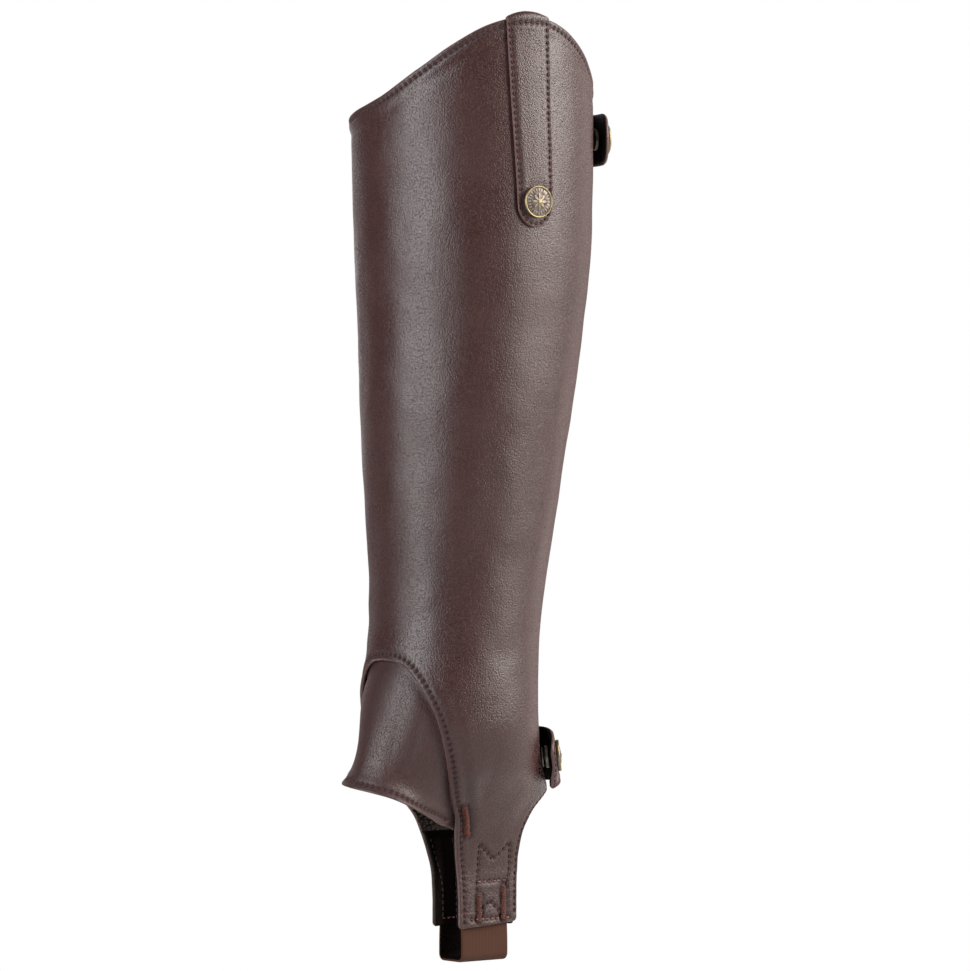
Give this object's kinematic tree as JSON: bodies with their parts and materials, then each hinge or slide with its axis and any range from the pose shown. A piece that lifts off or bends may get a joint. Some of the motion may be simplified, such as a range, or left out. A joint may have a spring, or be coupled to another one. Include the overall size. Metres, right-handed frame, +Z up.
{
  "type": "half chap",
  "caption": "Hollow leather-look half chap, filled out as worn: a tapering leg tube with a raised outer top, vamp over the instep, stirrup elastic, back zip and snap tabs.",
  "frame": {"origin": "on the leg's axis where the calf is widest, where the wearer's calf holds the chap up", "axes": "+Z up the leg, -Y towards the toe, +X towards the outer side of the leg"},
  "size_m": [0.1209, 0.1462, 0.4687],
  "materials": {
    "leather": "dark brown, fine pebbled grain, satin",
    "lining": "near-black, matt",
    "elastic": "brown, woven, matt",
    "antique_brass": "antique, satin",
    "zip_tape": "woven, matt"
  },
  "bodies": {
    "chap": {"leg_panel": "leather", "vamp": "leather", "outer_strap": "leather", "top_tab": "leather", "bottom_tab": "leather", "outer_tab_facing": "lining", "inner_tab_facing": "lining", "stirrup_elastic": "elastic", "zip_tape": "zip_tape", "zip_chain": "antique_brass", "zip_slider": "antique_brass", "strap_cap": "antique_brass", "top_tab_cap": "antique_brass", "top_tab_socket": "antique_brass", "top_tab_stud": "antique_brass", "bottom_tab_cap": "antique_brass", "bottom_tab_socket": "antique_brass", "bottom_tab_stud": "antique_brass"},
    "pull": {"zip_pull": "antique_brass"}
  },
  "joints": [
    {"name": "zip_pull_swing", "type": "hinge", "parent": "chap", "child": "pull", "pos_m": [0, 0.06386, 0.0013], "axis": [1, 0, 0], "range_deg": [0, 160]}
  ]
}
